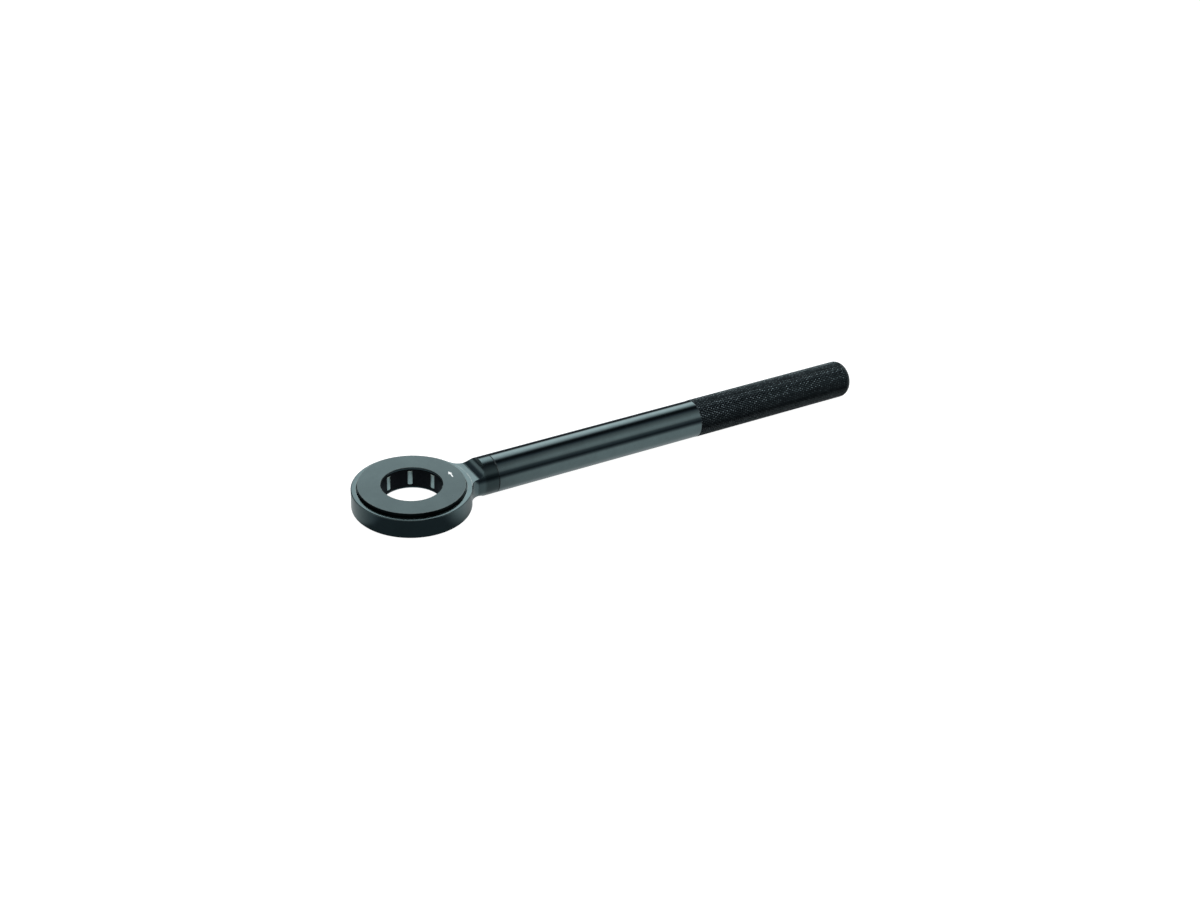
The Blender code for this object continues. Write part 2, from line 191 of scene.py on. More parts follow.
def plate(name, outline, z0, z1, upright=False):
    """An outline of (x, y) raised from z0 to z1, or of (x, z) reaching from y0 to y1."""
    n = len(outline)
    area = sum(outline[i - 1][0] * outline[i][1] - outline[i][0] * outline[i - 1][1] for i in range(n))
    if area < 0:
        outline = outline[::-1]
    low = [(x, y, z0) for x, y in outline]
    high = [(x, y, z1) for x, y in outline]
    faces = [tuple(range(n))[::-1], tuple(range(n, 2 * n))]
    faces += [(i, (i + 1) % n, n + (i + 1) % n, n + i) for i in range(n)]
    v = np.array(low + high)
    if upright:
        v = np.stack([v[:, 0], -v[:, 2], v[:, 1]], axis=1)
    return new_object(name, v, faces)


def cut(obj, other, operation="DIFFERENCE"):
    mod = obj.modifiers.new("b", "BOOLEAN")
    mod.operation, mod.solver, mod.object = operation, "EXACT", other
    graph = bpy.context.evaluated_depsgraph_get()
    mesh = bpy.data.meshes.new_from_object(obj.evaluated_get(graph))
    obj.modifiers.clear()
    old = obj.data
    obj.data = mesh
    bpy.data.meshes.remove(old)
    tool = other.data
    bpy.data.objects.remove(other)
    bpy.data.meshes.remove(tool)
    return obj


def tidy(obj, dist=1e-6):
    bm = bmesh.new()
    bm.from_mesh(obj.data)
    bmesh.ops.remove_doubles(bm, verts=bm.verts[:], dist=dist)
    bmesh.ops.dissolve_degenerate(bm, edges=bm.edges[:], dist=dist)
    bmesh.ops.recalc_face_normals(bm, faces=bm.faces[:])
    bm.to_mesh(obj.data)
    bm.free()
    return obj


def soft_edges(obj, width, test, degrees=28.0, segments=2):
    """Rounds the sharp edges that test(midpoint in local millimetres) picks."""
    bm = bmesh.new()
    bm.from_mesh(obj.data)
    picked = []
    for e in bm.edges:
        if len(e.link_faces) != 2 or e.calc_face_angle(0.0) < math.radians(degrees):
            continue
        mid = (e.verts[0].co + e.verts[1].co) / 2
        if test((mid.x - AX) * 1000, mid.y * 1000, (mid.z - Z0) * 1000):
            picked.append(e)
    if picked:
        bmesh.ops.bevel(
            bm, geom=picked, offset=width / 1000, segments=segments, profile=0.5,
            affect="EDGES", clamp_overlap=True,
        )
    bm.to_mesh(obj.data)
    bm.free()
    return obj


def weigh(obj):
    mod = obj.modifiers.new("normals", "WEIGHTED_NORMAL")
    mod.keep_sharp = True
    mod.weight = 60
    return obj


# --------------------------------------------------------------------------- node tools
class Tree:
    def __init__(self, mat):
        mat.use_nodes = True
        self.nt = mat.node_tree
        self.nt.nodes.clear()

    def add(self, kind, props=None, **inputs):
        node = self.nt.nodes.new(kind)
        for k, v in (props or {}).items():
            setattr(node, k, v)
        for k, v in inputs.items():
            self.put(node, k.replace("_", " "), v)
        return node

    def put(self, node, key, value):
        if isinstance(key, str) and key.lstrip("#").isdigit():
            key = int(key.lstrip("#"))
        socket = node.inputs[key]
        if isinstance(value, bpy.types.NodeSocket):
            self.nt.links.new(value, socket)
        elif isinstance(value, bpy.types.Node):
            self.nt.links.new(value.outputs[0], socket)
        else:
            socket.default_value = value

    def math(self, op, a, b=None, c=None, clamp=False):
        node = self.nt.nodes.new("ShaderNodeMath")
        node.operation, node.use_clamp = op, clamp
        for i, v in enumerate((a, b, c)):
            if v is not None:
                self.put(node, str(i), v)
        return node.outputs[0]

    def vmath(self, op, a, b=None, scale=None):
        node = self.nt.nodes.new("ShaderNodeVectorMath")
        node.operation = op
        self.put(node, "0", a)
        if b is not None:
            self.put(node, "1", b)
        if scale is not None:
            self.put(node, "Scale", scale)
        return node.outputs["Value"] if op in ("DOT_PRODUCT", "LENGTH", "DISTANCE") else node.outputs[0]

    def noise(self, vector, scale, detail=2.0, rough=0.5):
        node = self.nt.nodes.new("ShaderNodeTexNoise")
        self.put(node, "Vector", vector)
        self.put(node, "Scale", scale)
        self.put(node, "Detail", detail)
        self.put(node, "Roughness", rough)
        return node.outputs["Fac"] if "Fac" in node.outputs else node.outputs[0]

    def ramp(self, value, lo, hi, a=0.0, b=1.0, smooth=True):
        node = self.nt.nodes.new("ShaderNodeMapRange")
        node.interpolation_type = "SMOOTHSTEP" if smooth else "LINEAR"
        for i, v in enumerate((value, lo, hi, a, b)):
            self.put(node, str(i), v)
        return node.outputs[0]

    def mix(self, fac, a, b):
        node = self.nt.nodes.new("ShaderNodeMix")
        node.data_type = "RGBA"
        self.put(node, "0", fac)
        for i, v in ((6, a), (7, b)):
            if isinstance(v, tuple):
                v = (*v, 1.0) if len(v) == 3 else v
            self.put(node, str(i), v)
        return node.outputs[2]

    def local(self):
        """Position in millimetres about the clutch axis, at rest: the mesh's own coordinates."""
        coord = self.nt.nodes.new("ShaderNodeTexCoord").outputs["Object"]
        moved = self.vmath("SUBTRACT", coord, (AX, 0.0, Z0))
        return self.vmath("SCALE", moved, scale=1000.0)

    def split(self, vector):
        node = self.nt.nodes.new("ShaderNodeSeparateXYZ")
        self.put(node, "0", vector)
        return node.outputs

    def join(self, x, y, z):
        node = self.nt.nodes.new("ShaderNodeCombineXYZ")
        for i, v in enumerate((x, y, z)):
            self.put(node, str(i), v)
        return node.outputs[0]

    def bevel(self, radius_mm, samples=6):
        node = self.nt.nodes.new("ShaderNodeBevel")
        node.samples = samples
        self.put(node, "Radius", radius_mm / 1000)
        return node.outputs[0]

    def finish(self, **sockets):
        shader = self.nt.nodes.new("ShaderNodeBsdfPrincipled")
        for k, v in sockets.items():
            self.put(shader, k.replace("_", " "), v)
        out = self.nt.nodes.new("ShaderNodeOutputMaterial")
        self.nt.links.new(shader.outputs[0], out.inputs[0])
        return shader


def material(name):
    mat = bpy.data.materials.new(name)
    return mat, Tree(mat)


def edge_mask(t, edges, reach=0.35):
    """1 on the listed edges, fading to 0 over reach millimetres. An edge is (kind, a, b), a circle at radius a and
    height b about the clutch axis, or at radius a and place b along the handle."""
    p = t.local()
    x, y, z = (t.split(p)[i] for i in range(3))
    r_head = t.math("SQRT", t.math("ADD", t.math("MULTIPLY", x, x), t.math("MULTIPLY", y, y)))
    zz = t.math("SUBTRACT", z, AXIS_Z)
    r_bar = t.math("SQRT", t.math("ADD", t.math("MULTIPLY", zz, zz), t.math("MULTIPLY", y, y)))
    total = None
    for kind, a, b in edges:
        u = t.math("SUBTRACT", r_head if kind == "head" else r_bar, a)
        w = t.math("SUBTRACT", z if kind == "head" else x, b)
        d = t.math("SQRT", t.math("ADD", t.math("MULTIPLY", u, u), t.math("MULTIPLY", w, w)))
        m = t.ramp(d, 0.05, reach, 1.0, 0.0)
        total = m if total is None else t.math("MAXIMUM", total, m)
    return total


def oxide(name, dark, light, rough, marks, mark_size=0.3, seed=0.0, edges=(), reach=0.4, wear_and_glint=0.5, wear_and_glint_colour=(0.30, 0.29, 0.28),
          cloud=0.5, mark_strength=0.3, fine_strength=0.2, crest=None, stub=0.0, painted_wall_shade_r=0.0):
    """Black oxide steel. marks: 'turned' rings about the clutch axis, 'bar' rings about the handle, 'milled' straight.
    It also paints shade on the cover's side wall, the stub's sides and the knurl's grooves and underside, and glints on
    the knurl's crests.
    """
    mat, t = material(name)
    p = t.local()
    x, y, z = (t.split(p)[i] for i in range(3))
    if marks == "turned":
        r = t.math("SQRT", t.math("ADD", t.math("MULTIPLY", x, x), t.math("MULTIPLY", y, y)))
        angle = t.math("ARCTAN2", y, x)
        line = t.join(r, t.math("MULTIPLY", angle, 1.6), t.math("MULTIPLY", z, 0.8))
    elif marks == "bar":
        line = t.join(x, t.math("MULTIPLY", y, 0.05), t.math("MULTIPLY", z, 0.05))
    else:
        line = t.join(t.math("MULTIPLY", x, 0.06), y, t.math("MULTIPLY", z, 0.5))
    line = t.vmath("ADD", line, (seed, seed * 3.0, seed * 7.0))
    fine = t.noise(line, 1.0 / mark_size, 3.0, 0.6)
    blotch = t.noise(t.vmath("ADD", p, (seed * 7.3, seed, 3.1)), 0.09, 3.0, 0.55)
    patch = t.noise(t.vmath("ADD", p, (3.0, seed * 5.1, 9.0)), 0.45, 4.0, 0.6)
    speck = t.noise(p, 3.2, 2.0, 0.6)
    fac = t.math("ADD", t.math("MULTIPLY", t.ramp(blotch, 0.35, 0.65), cloud),
                 t.math("MULTIPLY", t.ramp(patch, 0.3, 0.7), 1.0 - cloud))
    fac = t.math("ADD", fac, t.math("MULTIPLY", t.math("SUBTRACT", fine, 0.5), mark_strength), clamp=True)
    colour = t.mix(fac, dark, light)
    ro = t.math("ADD", rough, t.math("MULTIPLY", t.math("SUBTRACT", patch, 0.5), 0.07))
    ro = t.math("ADD", ro, t.math("MULTIPLY", t.math("SUBTRACT", fine, 0.5), 0.10))
    ragged = t.ramp(t.noise(p, 1.1, 4.0, 0.7), 0.38, 0.62)
    if edges:
        worn = t.math("MULTIPLY", edge_mask(t, edges, reach), ragged)
        worn = t.math("MULTIPLY", worn, wear_and_glint, clamp=True)
        colour = t.mix(worn, colour, wear_and_glint_colour)
    if painted_wall_shade_r:
        # Painted shade: the disc's side wall is darkened towards near black as the shade of the step, and its face is
        # painted a little paler towards -X +Y and darker towards +X -Y as painted shading.
        away = t.math("SQRT", t.math("ADD", t.math("MULTIPLY", x, x), t.math("MULTIPLY", y, y)))
        painted_wall_shade = t.math("MULTIPLY", t.ramp(away, painted_wall_shade_r, painted_wall_shade_r + 0.05), t.ramp(z, HEAD_T - 0.10, HEAD_T - 0.20))
        colour = t.mix(t.math("MULTIPLY", painted_wall_shade, 0.75), colour, tuple(c * 0.1 for c in dark))
        painted_shade_across = t.math("SUBTRACT", y, t.math("MULTIPLY", x, 0.5))
        colour = t.mix(t.ramp(painted_shade_across, 24.0, -24.0, 0.0, 0.36, smooth=False), colour, tuple(c * 0.35 for c in dark))
    if stub:
        # Painted shade: the stub's sides, below its top, are darkened, standing in for the darker reflections near the
        # head.
        painted_side_shade = t.math("MULTIPLY", t.ramp(x, 33.0, 35.0), t.ramp(z, AXIS_Z + 8.7, AXIS_Z + 7.6))
        colour = t.mix(t.math("MULTIPLY", painted_side_shade, stub), colour, tuple(c * 0.2 for c in dark))
    if crest:
        zz = t.math("SUBTRACT", z, AXIS_Z)
        r_bar = t.math("SQRT", t.math("ADD", t.math("MULTIPLY", zz, zz), t.math("MULTIPLY", y, y)))
        # Painted glints: patches of the knurl's crests are paled towards a bright bluish grey, partly wear on the
        # crests and partly painted highlight.
        wear_and_glint_patches = t.ramp(t.noise(p, 0.70, 1.0, 0.5), 0.48, 0.62, 0.0, 1.0)
        high = t.math("MULTIPLY", t.ramp(r_bar, crest - 0.24, crest - 0.08), wear_and_glint_patches)
        colour = t.mix(t.math("MULTIPLY", high, wear_and_glint, clamp=True), colour, wear_and_glint_colour)
        # Painted shade: the knurl's grooves are darkened towards near black.
        low = t.ramp(r_bar, crest - 0.26, crest - 0.08, 0.20, 1.0)
        colour = t.mix(low, tuple(c * 0.3 for c in dark), colour)
        # Painted shade: the knurl's lower half is darkened.
        painted_underside_shade = t.math("MULTIPLY", t.ramp(zz, 5.5, 0.5), t.ramp(zz, -6.5, -4.0, 0.80, 0.70))
        colour = t.mix(painted_underside_shade, colour, tuple(c * 0.15 for c in dark))
    colour = t.mix(t.math("MULTIPLY", t.ramp(speck, 0.58, 0.76), 0.30), colour, tuple(c * 0.55 for c in dark))
    bump = t.add("ShaderNodeBump", Height=t.math("ADD", t.math("MULTIPLY", fine, 1.0), t.math("MULTIPLY", speck, 0.25)))
    bump.inputs["Strength"].default_value = fine_strength
    bump.inputs["Distance"].default_value = 0.00001
    t.finish(Base_Color=colour, Roughness=ro, Metallic=1.0, Normal=bump.outputs[0])
    return mat


def bright_steel(name, colour, rough, ring_axis="Z", grime=0.25, size=0.15):
    """Ground steel with fine grinding lines and a film of oil."""
    mat, t = material(name)
    p = t.local()
    x, y, z = (t.split(p)[i] for i in range(3))
    if ring_axis == "Z":
        line = t.join(t.math("MULTIPLY", x, 0.04), t.math("MULTIPLY", y, 0.04), z)
    else:
        line = t.join(x, t.math("MULTIPLY", y, 0.04), t.math("MULTIPLY", z, 0.04))
    lines = t.noise(line, 1.0 / size, 3.0, 0.7)
    smear = t.noise(p, 0.9, 3.0, 0.6)
    tone = t.mix(t.math("MULTIPLY", t.ramp(smear, 0.42, 0.72), grime), colour, tuple(c * 0.45 for c in colour))
    tone = t.mix(t.math("MULTIPLY", t.ramp(lines, 0.3, 0.7), 0.18), tone, tuple(min(1.0, c * 1.25) for c in colour))
    ro = t.math("ADD", rough, t.math("MULTIPLY", t.math("SUBTRACT", smear, 0.5), 0.16))
    bump = t.add("ShaderNodeBump", Height=lines)
    bump.inputs["Strength"].default_value = 0.15
    bump.inputs["Distance"].default_value = 0.00001
    t.finish(Base_Color=tone, Roughness=ro, Metallic=1.0, Normal=bump.outputs[0])
    return mat


def moulded(name, colour, rough):
    """Black moulded polyamide, with a fine spark-eroded grain."""
    mat, t = material(name)
    p = t.local()
    grain = t.noise(p, 5.0, 3.0, 0.6)
    cloud = t.noise(p, 0.5, 3.0, 0.5)
    tone = t.mix(t.ramp(cloud, 0.35, 0.65), colour, tuple(c * 1.9 for c in colour))
    ro = t.math("ADD", rough, t.math("MULTIPLY", t.math("SUBTRACT", cloud, 0.5), 0.2))
    bump = t.add("ShaderNodeBump", Height=grain)
    bump.inputs["Strength"].default_value = 0.3
    bump.inputs["Distance"].default_value = 0.00002
    shader = t.finish(Base_Color=tone, Roughness=ro, Metallic=0.0, Normal=bump.outputs[0])
    shader.inputs["Specular IOR Level"].default_value = 0.10
    return mat


def paint(name, colour):
    mat, t = material(name)
    p = t.local()
    rub = t.noise(p, 3.5, 4.0, 0.7)
    tone = t.mix(t.ramp(rub, 0.45, 0.75), colour, tuple(c * 0.62 for c in colour))
    t.finish(Base_Color=tone, Roughness=t.ramp(rub, 0.2, 0.8, 0.45, 0.7), Metallic=0.0)
    return mat


HEAD_EDGES = [("head", HEAD_R, BODY_T), ("head", HEAD_R, 0.0), ("head", GROOVE_R, BODY_T), ("head", BORE_R, 0.0),
              ("bar", HANDLE_R, STUB_END)]
HEAD_MAT = oxide("black_oxide_head", (0.076, 0.106, 0.111), (0.090, 0.126, 0.131), 0.17, "turned", seed=1.0,
                 edges=HEAD_EDGES, wear_and_glint=0.45, stub=0.5)
COVER_MAT = oxide("black_oxide_cover", (0.073, 0.100, 0.104), (0.087, 0.119, 0.123), 0.30, "turned", seed=2.0,
                  edges=[("head", COVER_R, HEAD_T), ("head", BORE_R, HEAD_T)], wear_and_glint=0.45, mark_strength=0.5, painted_wall_shade_r=COVER_R - 0.08)
HANDLE_MAT = oxide("black_oxide_handle", (0.096, 0.126, 0.131), (0.112, 0.148, 0.153), 0.105, "bar", seed=3.0,
                   edges=[("bar", HANDLE_R, SEAM_X), ("bar", HANDLE_R, KNURL_X)], wear_and_glint=0.4)
KNURL_MAT = oxide("black_oxide_knurl", (0.052, 0.070, 0.078), (0.070, 0.094, 0.104), 0.23, "bar", seed=4.0,
                  wear_and_glint=0.66, wear_and_glint_colour=(0.46, 0.54, 0.57), crest=KNURL_R)
SCREW_MAT = oxide("blackened_screws", (0.035, 0.037, 0.040), (0.05, 0.053, 0.056), 0.32, "turned", seed=5.0)
CAM_MAT = oxide("hardened_cam", (0.20, 0.20, 0.205), (0.30, 0.295, 0.29), 0.30, "turned", seed=6.0)
CAGE_MAT = moulded("black_cage", (0.0010, 0.0014, 0.0024), 0.38)
ROLLER_MAT = bright_steel("ground_rollers", (0.68, 0.79, 0.73), 0.40)
SPRING_MAT = bright_steel("spring_strip", (0.42, 0.39, 0.34), 0.30)
PIN_MAT = bright_steel("bright_pins", (0.52, 0.52, 0.53), 0.26)
MARK_MAT = paint("mark_fill", (0.86, 0.88, 0.88))


def dress(obj, body, *nodes, slot=None, mats=()):
    for m in mats:
        obj.data.materials.append(m)
    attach(obj, body)
    if nodes:
        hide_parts(*nodes)
    return obj


# --------------------------------------------------------------------------- head
ring = turned(
    "ring_head_and_neck",
    rounded([
        (BORE_R, LIP_T, 0.12), (CAM_SEAT_R, LIP_T, 0.0), (CAM_SEAT_R, SEAT_Z, 0.1),
        (SEAT_R, SEAT_Z, 0.0), (SEAT_R, 9.05, 0.05), (GROOVE_R, 9.15, 0.05), (GROOVE_R, BODY_T, 0.08),
        (HEAD_R, BODY_T, 0.42), (HEAD_R, 0.0, 0.5), (BORE_R, 0.0, 0.35),
    ]),
    288,
)


def neck_slice(z):
    """Plan outline of the neck at a height: the ring, fillets, and the bar's own width there."""
    w = math.sqrt(HANDLE_R**2 - (z - AXIS_Z) ** 2) - 0.02
    cy = w + WEB_FILLET
    cx = math.sqrt((HEAD_R - 0.02 + WEB_FILLET) ** 2 - cy**2)
    a = math.degrees(math.atan2(cy, cx))
    side = [polar(HEAD_R - 0.6, a + 0.6), *arc(cx, cy, WEB_FILLET, 180.0 + a, 270.0, 22), (cx + 0.3, w)]
    inner = arc(0.0, 0.0, HEAD_R - 1.6, -a, a, 16)
    return [*inner, *side, *[(px, -py) for px, py in reversed(side)]]


levels = [BODY_T * k / 20 for k in range(21)]
verts, faces = [], []
for zc in levels:
    outline = neck_slice(zc)
    verts += [(px, py, zc) for px, py in outline]
count = len(outline)
for i in range(len(levels) - 1):
    for k in range(count):
        m = (k + 1) % count
        faces.append((i * count + k, i * count + m, (i + 1) * count + m, (i + 1) * count + k))
faces.append(tuple(range(count))[::-1])
faces.append(tuple(range((len(levels) - 1) * count, len(levels) * count)))
neck = tidy(new_object("neck", verts, faces))

bar = turned(
    "bar",
    rounded([(0.0, STUB_END, 0), (HANDLE_R, STUB_END, 0.22), (HANDLE_R, COVER_R + 1.0, 0), (0.0, COVER_R + 1.0, 0)],
            closed=False),
    192, axis="X", centre=(0.0, 0.0, AXIS_Z), closed=False,
)
for sign, level in ((1, BODY_T), (-1, 0.0)):
    rise = HANDLE_R - abs(level - AXIS_Z)
    sweep = min(90.0, math.degrees(math.acos(1.0 - rise / STUB_FILLET)) + 1.5)
    curve = arc(WEB_X, level + sign * STUB_FILLET, STUB_FILLET, -90.0 * sign, -90.0 * sign + sign * sweep, 30)
    outline = [(WEB_X - 8.0, level), *curve, (curve[-1][0], level + sign * 8.0), (WEB_X - 8.0, level + sign * 8.0)]
    cut(bar, plate("mill", outline, -12.0, 12.0, upright=True))
cut(ring, neck, "UNION")
cut(ring, bar, "UNION")
tidy(ring)
soft_edges(
    ring, 0.22,
    lambda x, y, z: x > 24.0 and math.hypot(x, y) > 27.2 and x < 38.5 and (abs(y) < 9.2) and (
        abs(z - BODY_T) < 0.02 or abs(z) < 0.02 or x > 31.5),
)
cut(ring, turned("hole", [(0.0, STUB_END + 2), (4.1, STUB_END + 2), (4.1, STUB_END - 8.4), (0.0, STUB_END - 8.4)], 64,
                 axis="X", centre=(0, 0, AXIS_Z), closed=False))
LOCK_X = 37.2
cut(ring, turned("hole", rounded([(0.0, AXIS_Z, 0), (2.1, AXIS_Z, 0), (2.1, AXIS_Z - HANDLE_R + 0.35, 0),
                                  (2.55, AXIS_Z - HANDLE_R - 0.1, 0), (2.55, AXIS_Z - HANDLE_R - 1.0, 0),
                                  (0.0, AXIS_Z - HANDLE_R - 1.0, 0)], closed=False),
                 48, centre=(LOCK_X, 0, 0), closed=False))
for a in SCREW_ANGLES:
    px, py = polar(SCREW_PITCH_R, a)
    cut(ring, turned("hole", [(0.0, 9.5), (1.2, 9.5), (1.2, 1.1), (2.05, 0.25), (2.15, -0.05), (2.15, -1.0), (0.0, -1.0)],
                     40, centre=(px, py, 0), closed=False))
for a in (0.0, 180.0):
    px, py = polar(CAM_SEAT_R - 0.05, a)
    cut(ring, turned("hole", [(0.0, HEAD_T), (1.58, HEAD_T), (1.58, LIP_T + 0.1), (0.0, LIP_T + 0.1)], 32,
                     centre=(px, py, 0), closed=False))
tidy(ring)
shade(ring, 30.0)
weigh(ring)
dress(ring, "wrench", "head_body", slot="black_oxide_head", mats=[HEAD_MAT])

# --------------------------------------------------------------------------- cover disc
CEILING = 10.25
cover = turned(
    "raised_cover",
    rounded([
        (BORE_R, CEILING, 0.1), (BORE_R, HEAD_T, 0.22), (COVER_R, HEAD_T, 0.12), (COVER_R, SEAT_Z + 0.15, 0.15),
        (21.3, SEAT_Z + 0.15, 0.1), (21.3, CEILING, 0.0),
    ]),
    288,
)
for a in SCREW_ANGLES:
    px, py = polar(SCREW_PITCH_R, a)
    cut(cover, turned("hole", [(0.0, 10.55), (1.1, 10.55), (1.1, 8.0), (0.0, 8.0)], 32,
                      centre=(px, py, 0), closed=False))

# A small direction arrow, engraved and filled, on the handle side of the disc.
MARK_R, MARK_A, MARK_W, MARK_DEEP = 19.8, -3.5, 0.55, 0.12


def arrow_outline(r, a0, a1, w, head, grow):
    body = arc(0, 0, r + w / 2 + grow, a0, a1, 14)
    back = arc(0, 0, r - w / 2 - grow, a1, a0, 14)
    tip = polar(r, a1 + math.degrees((head * 1.25 + grow * 2) / r))
    return [*body, polar(r + head / 2 + grow, a1), tip, polar(r - head / 2 - grow, a1), *back]


outline = arrow_outline(MARK_R, MARK_A - 6.0, MARK_A + 2.5, MARK_W, 1.9, 0.0)
wide = arrow_outline(MARK_R, MARK_A - 6.0, MARK_A + 2.5, MARK_W, 1.9, 0.03)
cut(cover, plate("engraving", wide, HEAD_T - MARK_DEEP, HEAD_T + 1.0))
tidy(cover)
shade(cover, 30.0)
weigh(cover)
dress(cover, "wrench", "cover_disc", slot="black_oxide_cover", mats=[COVER_MAT])
mark = plate("direction_mark", outline, HEAD_T - MARK_DEEP + 0.01, HEAD_T - 0.02)
dress(mark, "wrench", mats=[MARK_MAT])

# --------------------------------------------------------------------------- handle with knurled grip
TEETH, SUB = 43, 3
PITCH_X = math.tau * KNURL_R / TEETH / math.tan(math.radians(30.0))
COLS = TEETH * 2 * SUB
STEP_X = PITCH_X / (2 * SUB)
DEPTH = 0.36
theta = np.arange(COLS) * math.tau / COLS


def groove(phase):
    tri = np.abs(((phase / math.tau) % 1.0) * 2.0 - 1.0)
    return np.clip((1.0 - tri) / 0.96, 0.0, 1.0)


def knurl_row(x):
    along = math.tau * (x - KNURL_X) / PITCH_X
    a, b = groove(TEETH * theta + along), groove(TEETH * theta - along)
    r = KNURL_R - DEPTH * (1.0 - np.minimum(a, b))
    dx = x - (END_X - END_ROUND)
    if dx > 0:
        limit = KNURL_R - END_ROUND + math.sqrt(max(0.0, END_ROUND**2 - dx * dx))
        r = np.minimum(r, limit)
    return r


rows = []                                    # (x, radii, is knurl)
rows += [(SEAM_X + 19.3, np.full(COLS, 0.0), 0)]
rows += [(SEAM_X + 17.9, np.full(COLS, 4.1), 0), (SEAM_X, np.full(COLS, 4.1), 0)]
for a, b in rounded([(4.1, SEAM_X, 0), (HANDLE_R, SEAM_X, 0.22), (HANDLE_R, SEAM_X + 4, 0)], closed=False)[1:-1]:
    rows.append((b, np.full(COLS, a), 0))
rows += [(SEAM_X + 0.26, np.full(COLS, HANDLE_R), 0), (SEAM_X + 0.5, np.full(COLS, HANDLE_R), 0)]
for k in range(24):
    rows.append((SEAM_X + 1.0 + (KNURL_X - 1.6 - SEAM_X) * k / 24, np.full(COLS, HANDLE_R), 0))
rows.append((KNURL_X - 0.25, np.full(COLS, HANDLE_R), 0))
rows.append((KNURL_X - 0.05, np.full(COLS, HANDLE_R + 0.01), 0))
n_rows = int((END_X - 2.2 - KNURL_X) / STEP_X)
for k in range(n_rows + 1):
    rows.append((KNURL_X + k * STEP_X, knurl_row(KNURL_X + k * STEP_X), 1))
last_x = KNURL_X + n_rows * STEP_X
start = math.degrees(math.asin((last_x - END_X + END_ROUND) / END_ROUND))
for k in range(1, 15):
    a = math.radians(start + (90.0 - start) * k / 14)
    rows.append((END_X - END_ROUND + END_ROUND * math.sin(a),
                 np.full(COLS, KNURL_R - END_ROUND + END_ROUND * math.cos(a)), 1))
rows.append((END_X, np.full(COLS, 2.3), 1))
rows.append((END_X, np.full(COLS, 0.0), 1))

verts, faces, tags, index = [], [], [], []
for x, r, _ in rows:
    if r.max() < 1e-9:
        index.append([len(verts)])
        verts.append((x, 0.0, AXIS_Z))
    else:
        index.append(list(range(len(verts), len(verts) + COLS)))
        verts += [(x, ri * math.cos(t), AXIS_Z + ri * math.sin(t)) for ri, t in zip(r, theta)]
for i in range(len(rows) - 1):
    a, b = index[i], index[i + 1]
    tag = rows[i + 1][2]
    for k in range(COLS):
        m = (k + 1) % COLS
        if len(a) == 1:
            made = [(a[0], b[m], b[k])]
        elif len(b) == 1:
            made = [(a[k], a[m], b[0])]
        elif tag and rows[i][2] and i < len(rows) - 16:
            # Split along the diagonal that follows the crease of the nearer groove.
            r0, r1 = rows[i][1], rows[i + 1][1]
            if abs(r0[k] - r1[m]) <= abs(r0[m] - r1[k]):
                made = [(a[k], a[m], b[m]), (a[k], b[m], b[k])]
            else:
                made = [(a[k], a[m], b[k]), (a[m], b[m], b[k])]
        else:
            made = [(a[k], a[m], b[m], b[k])]
        faces += made
        tags += [tag] * len(made)
handle = new_object("handle_with_knurled_grip", verts, faces, 26.0)
bm = bmesh.new()
bm.from_mesh(handle.data)
bmesh.ops.recalc_face_normals(bm, faces=bm.faces[:])
bm.to_mesh(handle.data)
bm.free()
shade(handle, 24.0)
dress(handle, "wrench", "handle_bar", slot="black_oxide_handle", mats=[HANDLE_MAT, KNURL_MAT])
handle.data.polygons.foreach_set("material_index", np.array(tags, np.int32))

# --------------------------------------------------------------------------- cage
cage = turned(
    "caged_bore_lining",
    rounded([(BORE_R, 0.95, 0.12), (BORE_R, 10.05, 0.12), (CAGE_R, 10.05, 0.1), (CAGE_R, 0.95, 0.1)]),
    192,
)
for a in (0.0, 90.0, 180.0, 270.0):
    lug = [polar(CAGE_R - 0.6, a + 3.0), polar(17.95, a + 3.0), polar(17.95, a + 5.05), polar(17.95, a + 7.1),
           polar(CAGE_R - 0.6, a + 7.1)]
    cut(cage, plate("lug", lug, 2.4, 8.6), "UNION")
for a in ROLLER_ANGLES:
    px, py = polar(15.95, a)
    high, low = HEAD_T / 2 + 3.75, HEAD_T / 2 - 3.75
    window = rounded([(0.0, high, 0), (2.1, high, 0.25), (2.1, low, 0.25), (0.0, low, 0)], closed=False, seg=4)
    cut(cage, turned("window", window, 56, centre=(px, py, 0), closed=False))
tidy(cage)
shade(cage, 30.0)
weigh(cage)
dress(cage, "cage", "roller_cage", slot="black_cage", mats=[CAGE_MAT])

# --------------------------------------------------------------------------- rollers
for k, a in enumerate(ROLLER_ANGLES, 1):
    lo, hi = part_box(f"roller_{k}")
    px, py = (lo.x + hi.x) / 2, (lo.y + hi.y) / 2
    zc = ((lo.z + hi.z) / 2 - Z0) * 1000
    prof = [(0.0, zc + 3.6)] + rounded(
        [(0.6, zc + 3.6, 0), (0.9, zc + 3.45, 0.1), (1.1, zc + 3.6, 0.1), (2.0, zc + 3.6, 0.42), (2.0, zc - 3.6, 0.42),
         (1.1, zc - 3.6, 0.1), (0.9, zc - 3.45, 0.1), (0.6, zc - 3.6, 0)], closed=False, seg=5) + [(0.0, zc - 3.6)]
    roller = turned(f"clutch_roller_{k}", prof, 64, centre=((px - AX) * 1000, py * 1000, 0), closed=False)
    dress(roller, f"roller_{k}", f"roller_{k}", slot="ground_roller", mats=[ROLLER_MAT])

